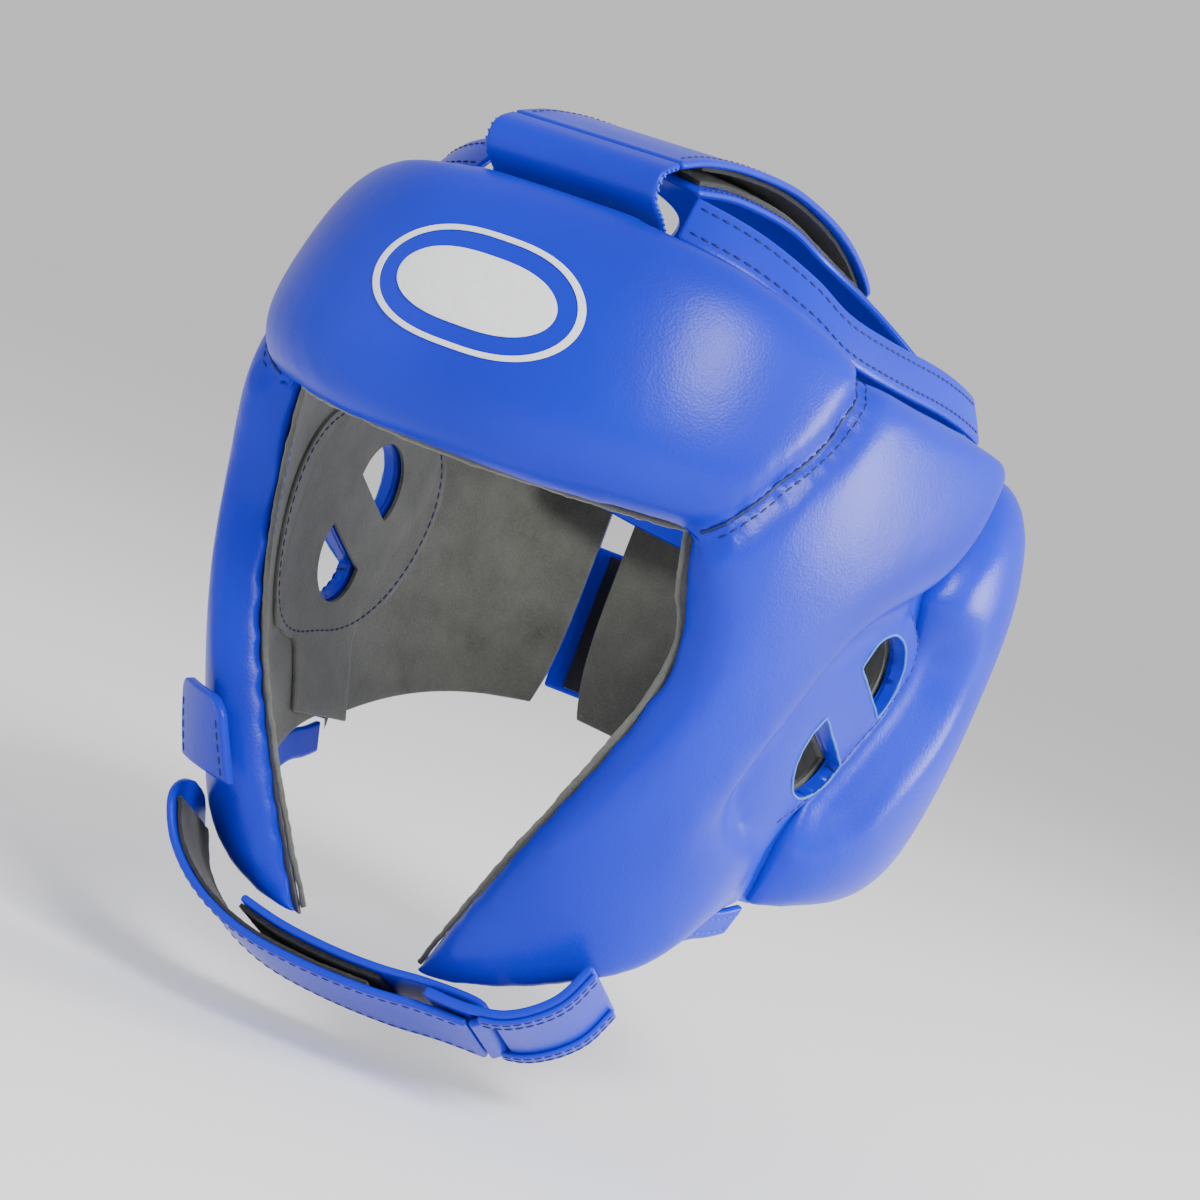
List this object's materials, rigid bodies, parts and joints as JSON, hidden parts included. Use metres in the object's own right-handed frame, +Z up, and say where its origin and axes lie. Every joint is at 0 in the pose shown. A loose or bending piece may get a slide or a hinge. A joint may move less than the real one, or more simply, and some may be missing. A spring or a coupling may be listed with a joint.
{
  "type": "boxing headgear",
  "caption": "Padded leather boxing headgear with forehead, cheek and rear pads, ear vents, hook-and-loop crown strap, rear closure and slotted chin strap.",
  "frame": {"origin": "centre of the head space on the brow plane, on the midplane", "axes": "+X to the wearer's left, -Y out of the face opening, +Z up to the crown"},
  "size_m": [0.208, 0.2465, 0.2589],
  "materials": {
    "cover_leather": "smooth semi-gloss split leather, royal blue",
    "foam": "closed-cell foam, hidden inside the covers",
    "lining_suede": "napped suede lining, grey",
    "loop_tape": "woven loop tape, black",
    "hook_tape": "moulded hook tape, black",
    "emblem_print": "matt white transfer print"
  },
  "bodies": {
    "shell": {"forehead_cover": "cover_leather", "left_side_cover": "cover_leather", "right_side_cover": "cover_leather", "left_ear_panel": "cover_leather", "right_ear_panel": "cover_leather", "left_crown_band": "cover_leather", "right_crown_band": "cover_leather", "crown_strap_base": "cover_leather", "chin_slot_tab": "cover_leather", "chin_anchor_tab": "cover_leather", "left_side_binding": "cover_leather", "right_side_binding": "cover_leather", "rear_yoke": "cover_leather", "chin_strap_base": "cover_leather", "forehead_core": "foam", "left_side_core": "foam", "right_side_core": "foam", "forehead_lining": "lining_suede", "left_side_lining": "lining_suede", "right_side_lining": "lining_suede", "left_ear_lining": "lining_suede", "right_ear_lining": "lining_suede", "rear_yoke_loop": "loop_tape", "chin_strap_loop": "loop_tape", "forehead_emblem": "emblem_print"},
    "left_rear": {"left_rear_cover": "cover_leather", "left_rear_core": "foam", "left_rear_lining": "lining_suede", "closure_loop": "loop_tape", "rear_label": "emblem_print"},
    "right_rear": {"right_rear_cover": "cover_leather", "closure_anchor": "cover_leather", "right_rear_core": "foam", "right_rear_lining": "lining_suede"},
    "closure": {"closure_strap": "cover_leather", "closure_hook": "hook_tape"},
    "crown": {"crown_strap": "cover_leather", "crown_strap_hook": "hook_tape"},
    "chin": {"chin_strap_tail": "cover_leather", "chin_strap_hook": "hook_tape"}
  },
  "joints": [
    {"name": "open_left_rear", "type": "hinge", "parent": "shell", "child": "left_rear", "pos_m": [0.098, 0.012, -0.092], "axis": [0, -0.3285, -0.9445], "range_deg": [0, 35]},
    {"name": "open_right_rear", "type": "hinge", "parent": "shell", "child": "right_rear", "pos_m": [-0.098, 0.012, -0.092], "axis": [0, 0.3285, 0.9445], "range_deg": [0, 35]},
    {"name": "closure_peel", "type": "hinge", "parent": "right_rear", "child": "closure", "pos_m": [-0.0596, 0.1158, -0.0414], "axis": [-0.065, 0.1186, 0.9908], "range_deg": [0, 105]},
    {"name": "crown_strap_peel", "type": "hinge", "parent": "shell", "child": "crown", "pos_m": [0, -0.0786, 0.092], "axis": [1, 0, 0], "range_deg": [0, 70]},
    {"name": "chin_strap_peel", "type": "hinge", "parent": "shell", "child": "chin", "pos_m": [0.04341, -0.04765, -0.14835], "axis": [0.195, -0.9192, 0.3421], "range_deg": [0, 60]}
  ],
  "couplings": [
    {"joint": "open_right_rear", "follows": "open_left_rear", "ratio": 1},
    {"joint": "closure_peel", "follows": "open_left_rear", "ratio": 3}
  ]
}
